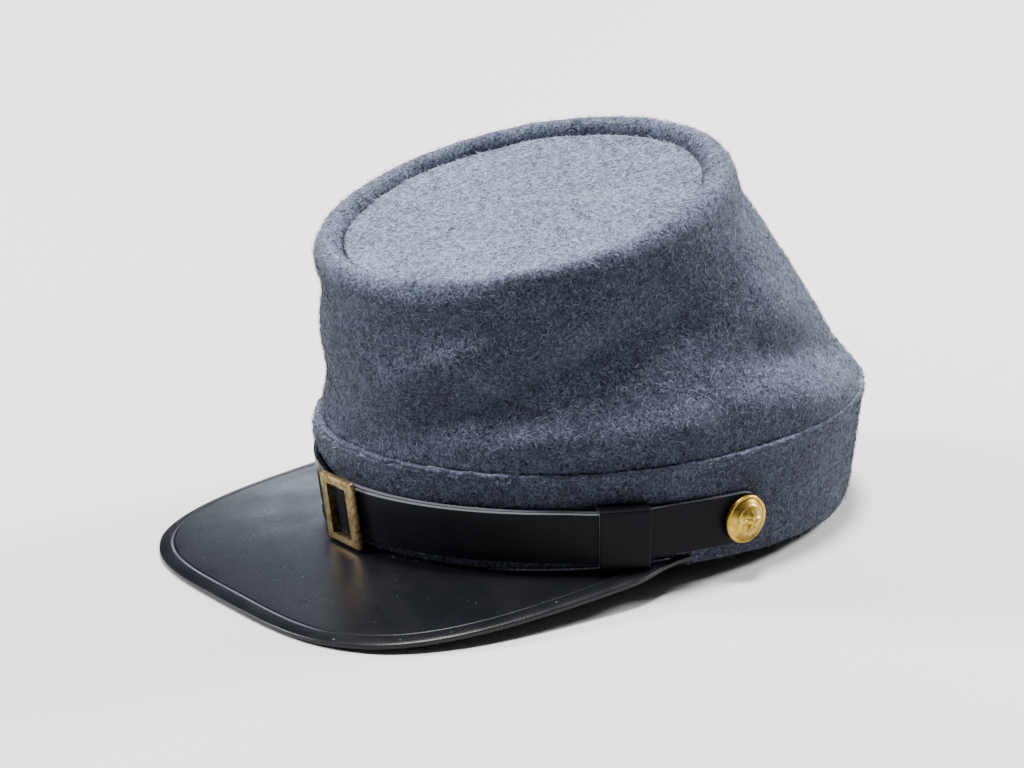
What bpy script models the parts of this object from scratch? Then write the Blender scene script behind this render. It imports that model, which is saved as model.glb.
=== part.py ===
import math
from collections import namedtuple

import bmesh
import bpy
import numpy as np
from mathutils import Matrix, Vector

# Head band and crown, metres
BAND_HALF_LENGTH = 0.1
BAND_HALF_WIDTH = 0.084
BAND_HEIGHT = 0.0382
CROWN_HEIGHT = 0.0683
BAND_THICKNESS = 0.003
WALL_THICKNESS = 0.0025
WELT_HEIGHT = 0.0026
WELT_PROUD = 0.0009
GAP = 0.0003

# Rolled rim and recessed top
ROLL_WIDTH = 0.012
ROLL_RISE = 0.0073
FLANGE_DEPTH = 0.0035
TOP_DROP = 0.004
TOP_THICKNESS = 0.0025
FOLD_DEPTH = 0.0045
FOLD_FADE_LOW = 0.12
FOLD_FADE_HIGH = 0.06

# Peak
PEAK_REACH = 0.1265
PEAK_HALF_WIDTH = 0.0885
PEAK_SQUARENESS = 3.7
PEAK_SETBACK = 0.0225
PEAK_THICKNESS = 0.003
PEAK_DROP = 0.0162
PEAK_END_HEIGHT = 0.0042
PEAK_ROOT_FRONT = -0.0006
PEAK_END_ANGLE = math.radians(80)
PEAK_TAPER_ANGLE = math.radians(64)
PEAK_END_WIDTH = 0.0014

# Chin strap, keeper, buckle and buttons
STRAP_WIDTH = 0.018
STRAP_THICKNESS = 0.0017
STRAP_EDGE = 0.0003
STRAP_HEIGHT_FRONT = 0.0123
STRAP_HEIGHT_SIDE = 0.0153
STRAP_END_RADIUS = 0.0082
BUTTON_ANGLE = math.radians(91.5)
BUTTON_RADIUS = 0.0085
BUTTON_DOME = 0.0036
BUTTON_RIM = 0.0016
SHANK_RADIUS = 0.0013
KEEPER_ANGLE = math.radians(64.8)
KEEPER_LENGTH = 0.0168
KEEPER_THICKNESS = 0.0012
KEEPER_ENTRY = 0.012
BUCKLE_WIDTH = 0.0195
BUCKLE_BAR = 0.004
BUCKLE_END_BAR = 0.0031
BUCKLE_FOOT = 0.0013
BUCKLE_THICKNESS = 0.0024
CENTRE_BAR_WIDTH = 0.0025
CENTRE_BAR_THICKNESS = 0.001

# Steps round the ring pieces
RING_STEPS = 64
BUTTON_STEPS = 28

# Wall sections: height as a share of its zone, half sizes as shares of the band's, lean in degrees
Section = namedtuple("Section", "height front rear side shift lean")
BAND_SECTIONS = (
    Section(0.00, 0.955, 1.018, 0.996, 0.000, 0.0),
    Section(0.30, 0.960, 1.036, 1.002, 0.000, 0.9),
    Section(0.56, 0.977, 1.050, 1.010, 0.000, 1.8),
    Section(0.77, 1.000, 1.058, 1.022, 0.000, 2.6),
    Section(1.00, 0.972, 1.050, 1.034, 0.000, 3.5),
)
CROWN_SECTIONS = (
    Section(0.18, 0.946, 0.930, 1.010, -0.010, 5.0),
    Section(0.39, 0.938, 0.842, 0.960, -0.040, 7.5),
    Section(0.62, 0.886, 0.784, 0.918, -0.120, 10.5),
    Section(0.84, 0.808, 0.746, 0.885, -0.210, 13.6),
    Section(1.00, 0.753, 0.753, 0.882, -0.290, 15.9),
)

# Folds: degrees from the front to the left, shares of the crown's height, share of the fold depth
Fold = namedtuple("Fold", "angle height climb length spread depth")
FOLDS = (
    Fold(28, 0.88, -0.06, 24, 0.085, -0.70),
    Fold(26, 0.62, 0.65, 22, 0.075, 0.50),
    Fold(46, 0.44, 0.53, 30, 0.110, -0.95),
    Fold(58, 0.17, 0.00, 32, 0.100, 0.55),
    Fold(116, 0.60, 0.00, 11, 0.450, 0.60),
    Fold(119, 0.34, -0.26, 22, 0.090, -0.70),
    Fold(110, 0.15, -0.25, 30, 0.090, 0.45),
    Fold(150, 0.92, 0.00, 36, 0.055, -0.50),
    Fold(84, 0.66, 0.10, 24, 0.200, -0.55),
)
HIDDEN_SIDE_SHARE = 0.4

# Materials: base colour, roughness, metallic
FINISHES = {
    "wool": ((0.085, 0.098, 0.135, 1), 0.95, 0.0),
    "wool_top": ((0.24, 0.265, 0.33, 1), 0.95, 0.0),
    "peak_leather": ((0.012, 0.012, 0.014, 1), 0.28, 0.0),
    "strap_leather": ((0.010, 0.010, 0.012, 1), 0.4, 0.0),
    "buckle_brass": ((0.30, 0.21, 0.09, 1), 0.38, 1.0),
    "button_brass": ((0.78, 0.52, 0.13, 1), 0.25, 1.0),
}


# Sections and the wall surface
def zone_rows():
    rows = [(s.height * BAND_HEIGHT,) + s[1:] for s in BAND_SECTIONS]
    rows += [(BAND_HEIGHT + s.height * CROWN_HEIGHT,) + s[1:] for s in CROWN_SECTIONS]
    table = np.array(rows, float)
    table[:, 1:3] *= BAND_HALF_LENGTH
    table[:, 3] *= BAND_HALF_WIDTH
    table[:, 4] *= BAND_HALF_LENGTH
    table[:, 5] = np.radians(table[:, 5])
    return table


ROWS = zone_rows()
ROW_SLOPES = np.gradient(ROWS[:, 1:], ROWS[:, 0], axis=0)
RIM_HEIGHT = BAND_HEIGHT + CROWN_HEIGHT


def section_at(height):
    height = np.clip(np.asarray(height, float), ROWS[0, 0], ROWS[-1, 0])
    low = np.clip(np.searchsorted(ROWS[:, 0], height, side="right") - 1, 0, len(ROWS) - 2)
    span = ROWS[low + 1, 0] - ROWS[low, 0]
    t = ((height - ROWS[low, 0]) / span)[..., None]
    span = span[..., None]
    start = (1 + 2 * t) * (1 - t) ** 2 * ROWS[low, 1:] + t * (1 - t) ** 2 * span * ROW_SLOPES[low]
    end = t * t * (3 - 2 * t) * ROWS[low + 1, 1:] + t * t * (t - 1) * span * ROW_SLOPES[low + 1]
    return start + end


def wall_point(angle, height, axial=0.0, inward=0.0):
    angle, height = np.broadcast_arrays(np.asarray(angle, float), np.asarray(height, float))
    front, rear, side, shift, lean = np.moveaxis(section_at(height), -1, 0)
    along = np.where(np.cos(angle) > 0, front, rear) - inward
    x = (side - inward) * np.sin(angle)
    y = -along * np.cos(angle)
    return np.stack([
        x,
        y * np.cos(lean) - axial * np.sin(lean) + shift,
        height + y * np.sin(lean) + axial * np.cos(lean),
    ], axis=-1)


def fold_push(angle, share):
    push = np.zeros(np.broadcast(angle, share).shape)
    for fold in FOLDS:
        for side, strength in ((1, 1.0), (-1, HIDDEN_SIDE_SHARE)):
            centre = math.radians(fold.angle) * side
            off = (angle - centre + math.pi) % math.tau - math.pi
            across = share - fold.height - fold.climb * off * side
            reach = math.radians(fold.length)
            weight = np.exp(-((off / reach) ** 2) - (across / fold.spread) ** 2)
            push = push + FOLD_DEPTH * fold.depth * strength * weight
    fade = np.clip(share / FOLD_FADE_LOW, 0, 1) * np.clip((1.0 - share) / FOLD_FADE_HIGH, 0, 1)
    return push * fade


def grid_normals(grid):
    along = np.gradient(grid, axis=0)
    around = np.roll(grid, -1, axis=1) - np.roll(grid, 1, axis=1)
    normals = np.cross(around, along)
    normals /= np.linalg.norm(normals, axis=-1, keepdims=True)
    return normals


def ring_angles():
    return np.arange(RING_STEPS) * math.tau / RING_STEPS


# The band's face where leather lies on it
def face_point(angle, height):
    samples = np.linspace(0, BAND_HEIGHT * 1.1, 12)
    line = wall_point(angle, samples)
    return np.array([np.interp(height, line[:, 2], line[:, 0]), np.interp(height, line[:, 2], line[:, 1]), height])


def face_normal(angle, height):
    step = 0.01
    across = face_point(angle + step, height) - face_point(angle - step, height)
    normal = np.array([across[1], -across[0], 0.0])
    return normal / np.linalg.norm(normal)


def arc_angle(angle, distance):
    step = 0.01
    rate = np.linalg.norm(face_point(angle + step, STRAP_HEIGHT_SIDE) - face_point(angle, STRAP_HEIGHT_SIDE)) / step
    return distance / rate


def face_frame(angle, height):
    low = face_point(angle, height - STRAP_WIDTH / 2)
    high = face_point(angle, height + STRAP_WIDTH / 2)
    up = (high - low) / np.linalg.norm(high - low)
    normal = face_normal(angle, height)
    normal = normal - up * np.dot(normal, up)
    normal /= np.linalg.norm(normal)
    swell = max(np.dot(face_point(angle, z) - low, normal) for z in np.linspace(low[2], high[2], 7))
    return (low + high) / 2 + normal * max(swell, 0.0), normal, up


def ease(value):
    value = min(max(value, 0.0), 1.0)
    return value * value * (3 - 2 * value)


# Meshes
def finish(name):
    found = bpy.data.materials.get(name)
    if found:
        return found
    colour, roughness, metallic = FINISHES[name]
    material = bpy.data.materials.new(name)
    material.use_nodes = True
    shader = material.node_tree.nodes["Principled BSDF"]
    shader.inputs["Base Color"].default_value = colour
    shader.inputs["Roughness"].default_value = roughness
    shader.inputs["Metallic"].default_value = metallic
    return material


def grid_object(name, grid, closed_rows):
    rows, columns = grid.shape[:2]
    mesh = bmesh.new()
    verts = [[mesh.verts.new(point) for point in row] for row in grid]
    for i in range(rows if closed_rows else rows - 1):
        for j in range(columns):
            k = (j + 1) % columns
            mesh.faces.new((verts[i][j], verts[i][k], verts[(i + 1) % rows][k], verts[(i + 1) % rows][j]))
    if not closed_rows:
        mesh.faces.new(verts[0])
        mesh.faces.new(verts[-1])
    bmesh.ops.recalc_face_normals(mesh, faces=mesh.faces)
    data = bpy.data.meshes.new(name)
    mesh.to_mesh(data)
    mesh.free()
    return bpy.data.objects.new(name, data)


def box_object(name, size, centre):
    bpy.ops.mesh.primitive_cube_add(size=1)
    body = bpy.context.object
    body.name = name
    for vertex in body.data.vertices:
        vertex.co = Vector([c * s for c, s in zip(vertex.co, size)]) + Vector(centre)
    return body


def settle(body, collection):
    for held in list(body.users_collection):
        held.objects.unlink(body)
    collection.objects.link(body)
    return body


def dress(body, material, smooth_angle=40):
    body.data.materials.clear()
    body.data.materials.append(finish(material))
    bpy.ops.object.select_all(action="DESELECT")
    body.select_set(True)
    bpy.context.view_layer.objects.active = body
    bpy.ops.object.shade_smooth()
    body.data.set_sharp_from_angle(angle=math.radians(smooth_angle))
    return body


def cut(body, tool, operation="DIFFERENCE"):
    settle(tool, CUTTERS)
    tool.hide_render = True
    tool.display_type = "WIRE"
    step = body.modifiers.new(tool.name, "BOOLEAN")
    step.operation = operation
    step.solver = "EXACT"
    step.object = tool


# Wool pieces
def headband():
    angles = ring_angles()[None, :]
    top = BAND_HEIGHT - GAP / 2
    plain = top - WELT_HEIGHT
    outer = [(0.0, 0.0), (0.3 * plain, 0.0), (0.65 * plain, 0.0), (plain, 0.0)]
    outer += [(plain + 0.25 * WELT_HEIGHT, -WELT_PROUD), (plain + 0.75 * WELT_HEIGHT, -WELT_PROUD), (top, 0.0)]
    inner = [(top, BAND_THICKNESS), (0.5 * top, BAND_THICKNESS), (0.0, BAND_THICKNESS)]
    grid = np.array([wall_point(angles[0], height, inward=inward) for height, inward in outer + inner])
    return grid_object("headband", grid, True)


def crown_outside():
    angles = ring_angles()
    start = BAND_HEIGHT + GAP / 2
    shares = np.concatenate([[0.0, 0.03], np.linspace(0.09, 1.0, 12)])
    rows = []
    for share in shares:
        rows.append(wall_point(angles, start + share * (RIM_HEIGHT - start)))
    grid = np.array(rows)
    normals = grid_normals(grid)
    grid = grid + normals * fold_push(angles[None, :], shares[:, None])[..., None]
    half = ROLL_WIDTH / 2
    rolled = []
    for turn in np.radians([26, 52, 78, 104, 130, 156, 180]):
        rolled.append(wall_point(angles, RIM_HEIGHT, ROLL_RISE * math.sin(turn), half - half * math.cos(turn)))
    rolled.append(wall_point(angles, RIM_HEIGHT, -FLANGE_DEPTH, ROLL_WIDTH))
    return np.concatenate([grid, np.array(rolled)])


def crown_wall():
    outer = crown_outside()
    inner = outer - grid_normals(outer) * WALL_THICKNESS
    inner[0, :, :] = wall_point(ring_angles(), BAND_HEIGHT + GAP / 2, inward=WALL_THICKNESS)
    return grid_object("crown_wall", np.concatenate([outer, inner[::-1]]), True)


def top_disc():
    front, rear, side, shift, lean = section_at(RIM_HEIGHT)
    bpy.ops.mesh.primitive_cylinder_add(vertices=RING_STEPS, radius=1, depth=TOP_THICKNESS)
    body = bpy.context.object
    body.name = "top_disc"
    inset = ROLL_WIDTH + GAP
    for vertex in body.data.vertices:
        vertex.co.x *= side - inset
        vertex.co.y *= front - inset
    bevel = body.modifiers.new("edge", "BEVEL")
    bevel.width = TOP_THICKNESS / 5
    bevel.segments = 1
    bevel.limit_method = "ANGLE"
    level = ROLL_RISE - TOP_DROP - TOP_THICKNESS / 2
    body.location = wall_point(0.0, RIM_HEIGHT, level, float(front))
    body.rotation_euler = (float(lean), 0, 0)
    return body


# Leather pieces
def peak_edge(angle):
    low, high = 0.0, 4 * PEAK_REACH
    for _ in range(40):
        middle = (low + high) / 2
        x = middle * math.sin(abs(angle)) / PEAK_HALF_WIDTH
        y = max(middle * math.cos(angle) - PEAK_SETBACK, 0) / PEAK_REACH
        if x ** PEAK_SQUARENESS + y ** PEAK_SQUARENESS > 1:
            high = middle
        else:
            low = middle
    return middle


def peak_section(angle):
    turn = abs(angle) / PEAK_END_ANGLE
    root_height = PEAK_ROOT_FRONT + (PEAK_END_HEIGHT - PEAK_ROOT_FRONT) * turn ** 2
    face = face_point(angle, max(root_height, 0.0))
    root = face + face_normal(angle, 0.001) * GAP
    reach = peak_edge(angle)
    edge = np.array([reach * math.sin(angle), -reach * math.cos(angle), 0.0])
    taper = ease((abs(angle) - PEAK_TAPER_ANGLE) / (PEAK_END_ANGLE - PEAK_TAPER_ANGLE))
    tip = root + face_normal(angle, 0.001) * PEAK_END_WIDTH
    edge = edge * (1 - taper) + tip * taper
    ahead = (-edge[1] - PEAK_SETBACK) / PEAK_REACH
    edge[2] = PEAK_END_HEIGHT - PEAK_DROP * ahead
    root[2] = root_height
    down = np.array([0, 0, -PEAK_THICKNESS])
    out = edge - root
    nose = min(PEAK_THICKNESS / 2 / max(np.linalg.norm(out), PEAK_END_WIDTH), 0.5)
    top = [root + out * share * (1 - nose) for share in (0, 0.25, 0.5, 0.75, 1)]
    under = [point + down for point in top[::-1]]
    return np.array(top + [edge + down * 0.3, edge + down * 0.7] + under)


def peak():
    half = np.concatenate([
        np.linspace(0, 0.45, 7)[:-1],
        np.linspace(0.45, 0.85, 10)[:-1],
        np.linspace(0.85, PEAK_END_ANGLE, 9),
    ])
    angles = np.concatenate([-half[::-1][:-1], half])
    return grid_object("peak", np.array([peak_section(a) for a in angles]), False)


def strap_height(angle):
    return STRAP_HEIGHT_FRONT + (STRAP_HEIGHT_SIDE - STRAP_HEIGHT_FRONT) * min(abs(angle) / BUTTON_ANGLE, 1)


def keeper_lift(angle):
    half = arc_angle(KEEPER_ANGLE, KEEPER_LENGTH / 2)
    entry = arc_angle(KEEPER_ANGLE, KEEPER_ENTRY)
    return (KEEPER_THICKNESS + GAP) * ease(1 - (abs(angle - KEEPER_ANGLE) - half) / entry)


def left_lift(angle):
    return GAP + keeper_lift(angle)


def right_lift(angle):
    doubled = left_lift(angle) + STRAP_THICKNESS + GAP
    buckle_half = arc_angle(0.0, BUCKLE_WIDTH / 2)
    drop = ease((-angle - buckle_half) / buckle_half)
    window = arc_angle(0.0, BUCKLE_WIDTH / 2 - BUCKLE_BAR)
    bar = arc_angle(0.0, CENTRE_BAR_WIDTH / 2 + STRAP_THICKNESS / 2)
    over = ease((window - abs(angle)) / (window - bar))
    return GAP * drop + doubled * (1 - drop) + over * (CENTRE_BAR_THICKNESS + GAP)


def strap_section(angle, lift, width):
    origin, normal, up = face_frame(angle, strap_height(angle))
    half = width / 2
    edge = STRAP_EDGE
    thick = STRAP_THICKNESS
    outline = [(edge - half, 0), (half - edge, 0), (half, edge), (half, thick - edge)]
    outline += [(half - edge, thick), (edge - half, thick), (-half, thick - edge), (-half, edge)]
    return np.array([origin + up * across + normal * (lift + out) for across, out in outline])


def strap_width(angle):
    beyond = max((abs(angle) - BUTTON_ANGLE) / arc_angle(BUTTON_ANGLE, 1.0), 0.0)
    return STRAP_WIDTH * math.sqrt(1 - min(beyond / STRAP_END_RADIUS, 0.85) ** 2)


def strap(name, start, stop, lift, near):
    fine = np.concatenate([centre + np.linspace(-reach, reach, count) for centre, reach, count in near])
    coarse = np.linspace(start, stop, 32)
    keep = [a for a in coarse if min(abs(fine - a)) > 0.02]
    angles = sorted(a for a in np.concatenate([keep, fine, [start, stop]]) if start <= a <= stop)
    angles = [a for i, a in enumerate(angles) if i == 0 or a - angles[i - 1] > 1e-4]
    grid = np.array([strap_section(a, lift(a), strap_width(a)) for a in angles])
    return grid_object(name, grid, False)


def strap_left():
    end = BUTTON_ANGLE + arc_angle(BUTTON_ANGLE, 0.83 * STRAP_END_RADIUS)
    start = -arc_angle(0.0, CENTRE_BAR_WIDTH)
    near = [(KEEPER_ANGLE, arc_angle(KEEPER_ANGLE, KEEPER_LENGTH / 2 + KEEPER_ENTRY), 13), (end, 0.09, 9)]
    return strap("strap_left", start, end, left_lift, near)


def strap_right():
    end = -BUTTON_ANGLE - arc_angle(BUTTON_ANGLE, 0.83 * STRAP_END_RADIUS)
    stop = KEEPER_ANGLE + arc_angle(KEEPER_ANGLE, KEEPER_LENGTH / 2)
    near = [(KEEPER_ANGLE, arc_angle(KEEPER_ANGLE, KEEPER_LENGTH / 2 + KEEPER_ENTRY), 13)]
    near += [(0.0, 0.24, 21), (end, 0.09, 9)]
    return strap("strap_right", end, stop, right_lift, near)


def keeper():
    half = arc_angle(KEEPER_ANGLE, KEEPER_LENGTH / 2)
    stations = KEEPER_ANGLE + np.linspace(-half, half, 5)
    depth = 2 * STRAP_THICKNESS + 3 * GAP
    rows = []
    for grow, order in ((KEEPER_THICKNESS, stations), (0.0, stations[::-1])):
        for angle in order:
            origin, normal, up = face_frame(angle, strap_height(angle))
            tall = STRAP_WIDTH / 2 + GAP + grow
            base = GAP + KEEPER_THICKNESS - grow
            top = GAP + KEEPER_THICKNESS + depth + grow
            corner = 0.45 * (KEEPER_THICKNESS + grow) / 2
            outline = [(tall, base + corner), (tall, top - corner), (tall - corner, top)]
            outline += [(0.33 * tall, top), (-0.33 * tall, top)]
            outline += [(-tall + corner, top), (-tall, top - corner), (-tall, base + corner)]
            outline += [(-tall + corner, base), (-0.33 * tall, base), (0.33 * tall, base), (tall - corner, base)]
            rows.append([origin + up * across + normal * out for across, out in outline])
    return grid_object("keeper", np.array(rows), True)


# Metal pieces
def placing(origin, across, along, out):
    matrix = Matrix((Vector(across), Vector(along), Vector(out))).transposed().to_4x4()
    matrix.translation = Vector(origin)
    return matrix


def buckle():
    strap_top = GAP + STRAP_THICKNESS
    rear = 2 * strap_top + GAP
    window_height = STRAP_WIDTH + 2 * GAP
    full_height = window_height + 2 * BUCKLE_END_BAR
    body = box_object("buckle", (BUCKLE_WIDTH, BUCKLE_THICKNESS, full_height), (0, rear + BUCKLE_THICKNESS / 2, 0))
    bevel = body.modifiers.new("soft_edges", "BEVEL")
    bevel.width = BUCKLE_THICKNESS / 3
    bevel.segments = 2
    window = (BUCKLE_WIDTH - 2 * BUCKLE_BAR, 4 * BUCKLE_THICKNESS, window_height)
    cut(body, box_object("buckle_window", window, (0, rear, 0)))
    bar_rear = strap_top + GAP
    bar_front = rear + BUCKLE_THICKNESS / 2
    post = (CENTRE_BAR_WIDTH, bar_front - bar_rear, window_height + 2 * BUCKLE_FOOT)
    bar = box_object("buckle_centre_bar", post, (0, (bar_front + bar_rear) / 2, 0))
    clear = bar_rear + CENTRE_BAR_THICKNESS
    space = (2 * CENTRE_BAR_WIDTH, 4 * BUCKLE_THICKNESS, window_height)
    opening = box_object("buckle_strap_way", space, (0, clear + 2 * BUCKLE_THICKNESS, 0))
    cut(bar, opening)
    cut(body, bar, "UNION")
    origin, normal, up = face_frame(0.0, strap_height(0.0))
    for piece in (body, bar, opening, bpy.data.objects["buckle_window"]):
        piece.matrix_world = placing(origin, np.cross(normal, up), normal, up)
    return body


def button(name, side):
    back = GAP + STRAP_THICKNESS + GAP
    inside = -BAND_THICKNESS - GAP
    profile = [(0, inside), (SHANK_RADIUS, inside), (SHANK_RADIUS, back), (BUTTON_RADIUS * 0.94, back)]
    profile += [(BUTTON_RADIUS, back + BUTTON_RIM * 0.4), (BUTTON_RADIUS, back + BUTTON_RIM)]
    profile += [(BUTTON_RADIUS * 0.93, back + BUTTON_RIM * 1.35), (BUTTON_RADIUS * 0.88, back + BUTTON_RIM)]
    for turn in np.radians([18, 36, 54, 72, 90]):
        profile.append((BUTTON_RADIUS * 0.88 * math.cos(turn), back + BUTTON_RIM + BUTTON_DOME * math.sin(turn)))
    profile[-1] = (0, profile[-1][1])
    data = bpy.data.meshes.new(name)
    edges = [(i, i + 1) for i in range(len(profile) - 1)]
    data.from_pydata([(radius, 0, out) for radius, out in profile], edges, [])
    body = bpy.data.objects.new(name, data)
    turned = body.modifiers.new("turned", "SCREW")
    turned.angle = math.tau
    turned.steps = BUTTON_STEPS
    turned.render_steps = BUTTON_STEPS
    turned.use_merge_vertices = True
    turned.merge_threshold = 1e-5
    turned.use_normal_calculate = True
    body.matrix_world = button_frame(BUTTON_ANGLE * side)
    return body


def button_frame(angle):
    origin, normal, up = face_frame(angle, strap_height(angle))
    return placing(origin, np.cross(up, normal), up, normal)


def shank_hole(name, side):
    bpy.ops.mesh.primitive_cylinder_add(vertices=16, radius=SHANK_RADIUS + GAP, depth=4 * BAND_THICKNESS)
    tool = bpy.context.object
    tool.name = name
    tool.matrix_world = button_frame(BUTTON_ANGLE * side)
    return tool


# Rest pose: the band's rear edge and the peak's lowest edge on the ground
def world_points(bodies):
    bpy.context.view_layer.update()
    graph = bpy.context.evaluated_depsgraph_get()
    points = []
    for body in bodies:
        shaped = body.evaluated_get(graph)
        points += [shaped.matrix_world @ vertex.co for vertex in shaped.data.vertices]
    return np.array(points)


def rest_angle(points):
    low, high = 0.0, math.radians(15)
    front = points[points[:, 1] < -BAND_HALF_LENGTH]
    rear = points[points[:, 1] > 0]
    for _ in range(40):
        middle = (low + high) / 2
        front_low = (front[:, 2] * math.cos(middle) - front[:, 1] * math.sin(middle)).min()
        rear_low = (rear[:, 2] * math.cos(middle) - rear[:, 1] * math.sin(middle)).min()
        if front_low < rear_low:
            low = middle
        else:
            high = middle
    return middle


def build():
    left_hole = shank_hole("shank_hole_left", 1)
    right_hole = shank_hole("shank_hole_right", -1)
    band = headband()
    left = strap_left()
    right = strap_right()
    pieces = [
        (band, "wool"), (crown_wall(), "wool"), (top_disc(), "wool_top"), (peak(), "peak_leather"),
        (left, "strap_leather"), (right, "strap_leather"), (keeper(), "strap_leather"),
        (buckle(), "buckle_brass"), (button("button_left", 1), "button_brass"),
        (button("button_right", -1), "button_brass"),
    ]
    for body, _ in pieces:
        settle(body, CAP)
    for body, tools in ((band, (left_hole, right_hole)), (left, (left_hole,)), (right, (right_hole,))):
        for tool in tools:
            cut(body, tool)
    for body, material in pieces:
        dress(body, material)
    bodies = [body for body, _ in pieces]
    points = world_points(bodies)
    tilt = rest_angle(points)
    turned = points @ np.array(Matrix.Rotation(-tilt, 3, "X")).T
    low, high = turned.min(axis=0), turned.max(axis=0)
    frame = bpy.data.objects.new("rest_pose", None)
    CAP.objects.link(frame)
    for body in bodies + list(CUTTERS.objects):
        body.parent = frame
    frame.rotation_euler = (-tilt, 0, 0)
    frame.location = (-(low[0] + high[0]) / 2, -(low[1] + high[1]) / 2, -low[2])
    print("rest tilt degrees", round(math.degrees(tilt), 3))
    print("rest shift", [round(float(v), 5) for v in frame.location])


for held in list(bpy.data.objects):
    bpy.data.objects.remove(held)
CAP = bpy.data.collections.new("kepi_cap")
CUTTERS = bpy.data.collections.new("cutters")
bpy.context.scene.collection.children.link(CAP)
bpy.context.scene.collection.children.link(CUTTERS)
build()
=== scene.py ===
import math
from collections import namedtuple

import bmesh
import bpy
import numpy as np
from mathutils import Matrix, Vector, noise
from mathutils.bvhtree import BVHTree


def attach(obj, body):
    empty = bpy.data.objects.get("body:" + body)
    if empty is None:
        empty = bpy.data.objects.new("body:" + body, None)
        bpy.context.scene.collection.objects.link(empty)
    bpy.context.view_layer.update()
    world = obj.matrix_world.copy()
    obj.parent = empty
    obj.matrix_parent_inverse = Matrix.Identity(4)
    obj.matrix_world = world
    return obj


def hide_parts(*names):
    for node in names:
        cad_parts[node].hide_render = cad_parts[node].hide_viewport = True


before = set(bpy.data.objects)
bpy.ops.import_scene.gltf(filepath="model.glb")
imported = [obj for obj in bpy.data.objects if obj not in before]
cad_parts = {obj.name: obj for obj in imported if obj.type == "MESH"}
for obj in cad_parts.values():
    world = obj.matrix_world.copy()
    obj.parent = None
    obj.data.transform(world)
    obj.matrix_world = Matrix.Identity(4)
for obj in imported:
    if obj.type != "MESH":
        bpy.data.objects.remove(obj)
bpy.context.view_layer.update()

# %% [markdown]
# # A wool kepi
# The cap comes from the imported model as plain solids: a band, a leaning crown wall, a
# recessed round top, a leather peak, a doubled strap with its keeper, a slide buckle and
# two buttons. This lesson gives them the look of fulled wool, waxed leather and brass.
# Everything is measured in metres in the frame of the model: the peak points along -Y, the
# wearer's left is +X, and the cap stands on Z = 0.
#
# The cap rests on the back of its band and the front of its peak, so it leans. Places are
# easier to name on a level cap, so two helpers go from the level cap to the resting one and
# back.

REST_TILT = math.radians(3.371)
REST_SHIFT = Vector((0.0, 0.0204, 0.006))
print("solids", sorted(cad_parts))


def at_rest(point):
    """A point of the level cap, moved to where it is when the cap stands on its peak and band."""
    return Matrix.Rotation(-REST_TILT, 4, "X") @ Vector(point) + REST_SHIFT


def made_level(points):
    """Rows of points of the resting cap, moved to where they are on the level cap."""
    return (points - np.array(REST_SHIFT)) @ np.array(Matrix.Rotation(REST_TILT, 3, "X")).T


def outward_at(angle):
    """The way out from the cap's middle at each angle, where 0 is the peak and plus is the wearer's left."""
    return np.stack([np.sin(angle), -np.cos(angle), np.zeros_like(angle)], axis=1)


# %% [markdown]
# ## The camera first
# A look is judged from one place, so the camera is fixed before any surface is made. It
# stands in front of the wearer's left side, 53 degrees round from the peak and 14.5 degrees
# up, with a long lens because the rim's far side is hardly smaller than its near side. The
# cap stood level when these angles were read, so the camera is tipped with it.

# %% Camera
CAMERA_TURN = math.radians(53.0)
CAMERA_RISE = math.radians(14.5)
CAMERA_ROLL = math.radians(-1.8)
CAMERA_DISTANCE = 1.2
CAMERA_TARGET = Vector((0.0, 0.0, 0.06))
CAMERA_LENS = 118.97
CAMERA_SENSOR = 36.0
CAMERA_SHIFT = (-0.0742, -0.0488)

camera = bpy.data.objects.new("camera", bpy.data.cameras.new("camera"))
bpy.context.scene.collection.objects.link(camera)
bpy.context.scene.camera = camera
camera.data.lens = CAMERA_LENS
camera.data.sensor_width = CAMERA_SENSOR
camera.data.shift_x = CAMERA_SHIFT[0]
camera.data.shift_y = CAMERA_SHIFT[1]
back = Vector((
    math.sin(CAMERA_TURN) * math.cos(CAMERA_RISE),
    -math.cos(CAMERA_TURN) * math.cos(CAMERA_RISE),
    math.sin(CAMERA_RISE),
))
level_side = Vector((math.cos(CAMERA_TURN), math.sin(CAMERA_TURN), 0.0))
level_up = back.cross(level_side)
across = level_side * math.cos(CAMERA_ROLL) - level_up * math.sin(CAMERA_ROLL)
upright = level_side * math.sin(CAMERA_ROLL) + level_up * math.cos(CAMERA_ROLL)
camera_turn = Matrix((across, upright, back)).transposed().to_4x4()
camera.matrix_world = Matrix.Rotation(-REST_TILT, 4, "X") @ camera_turn
camera.location = at_rest(CAMERA_TARGET + back * CAMERA_DISTANCE)
print("camera height", round(camera.location.z, 3))

# %% [markdown]
# ## The floor
# The cap stands on pale paper. One large square is enough, because its edges are far outside
# the picture.

# %% Floor
FLOOR_HALF = 6
PAPER_COLOUR = (0.80, 0.795, 0.78, 1)
PAPER_ROUGHNESS = 0.9

floor_data = bpy.data.meshes.new("floor")
floor_data.from_pydata(
    [(-FLOOR_HALF, -FLOOR_HALF, 0), (FLOOR_HALF, -FLOOR_HALF, 0),
     (FLOOR_HALF, FLOOR_HALF, 0), (-FLOOR_HALF, FLOOR_HALF, 0)],
    [], [(0, 1, 2, 3)],
)
floor = bpy.data.objects.new("floor", floor_data)
bpy.context.scene.collection.objects.link(floor)
paper = bpy.data.materials.new("floor_paper")
paper.use_nodes = True
paper_shader = paper.node_tree.nodes["Principled BSDF"]
paper_shader.inputs["Base Color"].default_value = PAPER_COLOUR
paper_shader.inputs["Roughness"].default_value = PAPER_ROUGHNESS
floor_data.materials.append(paper)
print("floor", 2 * FLOOR_HALF, "m wide")

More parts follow.
